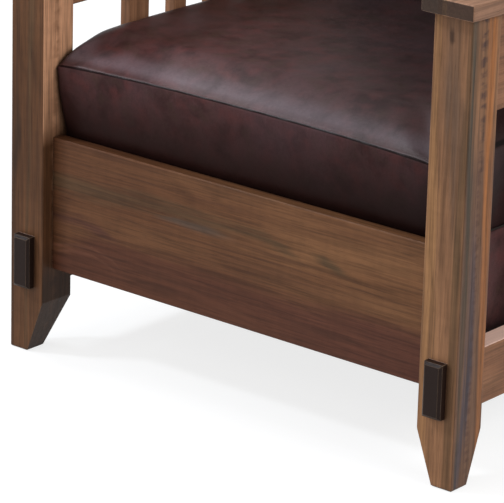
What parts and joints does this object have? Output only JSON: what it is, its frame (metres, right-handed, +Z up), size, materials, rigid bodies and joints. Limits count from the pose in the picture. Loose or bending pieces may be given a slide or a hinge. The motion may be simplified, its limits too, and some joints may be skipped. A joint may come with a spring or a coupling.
{
  "type": "mission reclining armchair",
  "caption": "Slatted wooden armchair with broad flat arms, deep aprons and loose leather cushions, whose hinged back leans against a sliding bar.",
  "frame": {"origin": "On the floor below the middle of the chair's whole width and depth, with the back in its upright notch.", "axes": "+X is to the right seen from the front, +Y runs from the front edge to the back, +Z is up."},
  "size_m": [0.757, 0.9844, 1.0295],
  "materials": {
    "oak": "satin",
    "inner_wood": "matte",
    "leather": "satin",
    "filling": "matte",
    "cloth": "matte",
    "steel": "satin"
  },
  "bodies": {
    "base": {"arm_left": "oak", "arm_right": "oak", "cleat_screws": "steel", "front_apron": "oak", "front_leg_left": "oak", "front_leg_right": "oak", "front_seat_cleat": "inner_wood", "hinge_fixed_leaves": "steel", "hinge_pins": "steel", "hinge_screws_apron": "steel", "lower_side_rail_left": "oak", "lower_side_rail_right": "oak", "notched_rack_left": "oak", "notched_rack_right": "oak", "rack_screws": "steel", "rear_apron": "oak", "rear_leg_left": "oak", "rear_leg_right": "oak", "rear_seat_cleat": "inner_wood", "seat_corner_blocks": "inner_wood", "seat_cushion_core": "filling", "seat_cushion_cover": "leather", "seat_deck_pad": "filling", "seat_dust_cover": "cloth", "seat_front_rail": "inner_wood", "seat_rear_rail": "inner_wood", "seat_side_cover_left": "leather", "seat_side_cover_right": "leather", "seat_side_rail_left": "inner_wood", "seat_side_rail_right": "inner_wood", "side_slat_left_1": "oak", "side_slat_left_2": "oak", "side_slat_left_3": "oak", "side_slat_left_4": "oak", "side_slat_left_5": "oak", "side_slat_right_1": "oak", "side_slat_right_2": "oak", "side_slat_right_3": "oak", "side_slat_right_4": "oak", "side_slat_right_5": "oak", "upper_side_rail_left": "oak", "upper_side_rail_right": "oak", "webbing_crosswise": "cloth", "webbing_lengthwise": "cloth", "webbing_tacks": "steel"},
    "back": {"back_bottom_rail": "oak", "back_cushion_core": "filling", "back_cushion_cover": "leather", "back_slat_1": "oak", "back_slat_2": "oak", "back_slat_3": "oak", "back_slat_4": "oak", "back_stile_left": "oak", "back_stile_right": "oak", "back_top_rail": "oak", "hinge_moving_leaves": "steel", "hinge_screws_back": "steel"},
    "bar": {"adjusting_bar": "oak"}
  },
  "joints": [
    {"name": "back_recline", "type": "hinge", "parent": "base", "child": "back", "pos_m": [0, 0.2363, 0.305], "axis": [-1, 0, 0], "range_deg": [0, 15]},
    {"name": "bar_slide", "type": "slide", "parent": "base", "child": "bar", "axis": [0, 0.9659, 0.2588], "range_m": [0, 0.1253]}
  ],
  "couplings": [
    {"joint": "bar_slide", "follows": "back_recline", "m_per_rad": 0.4786}
  ]
}
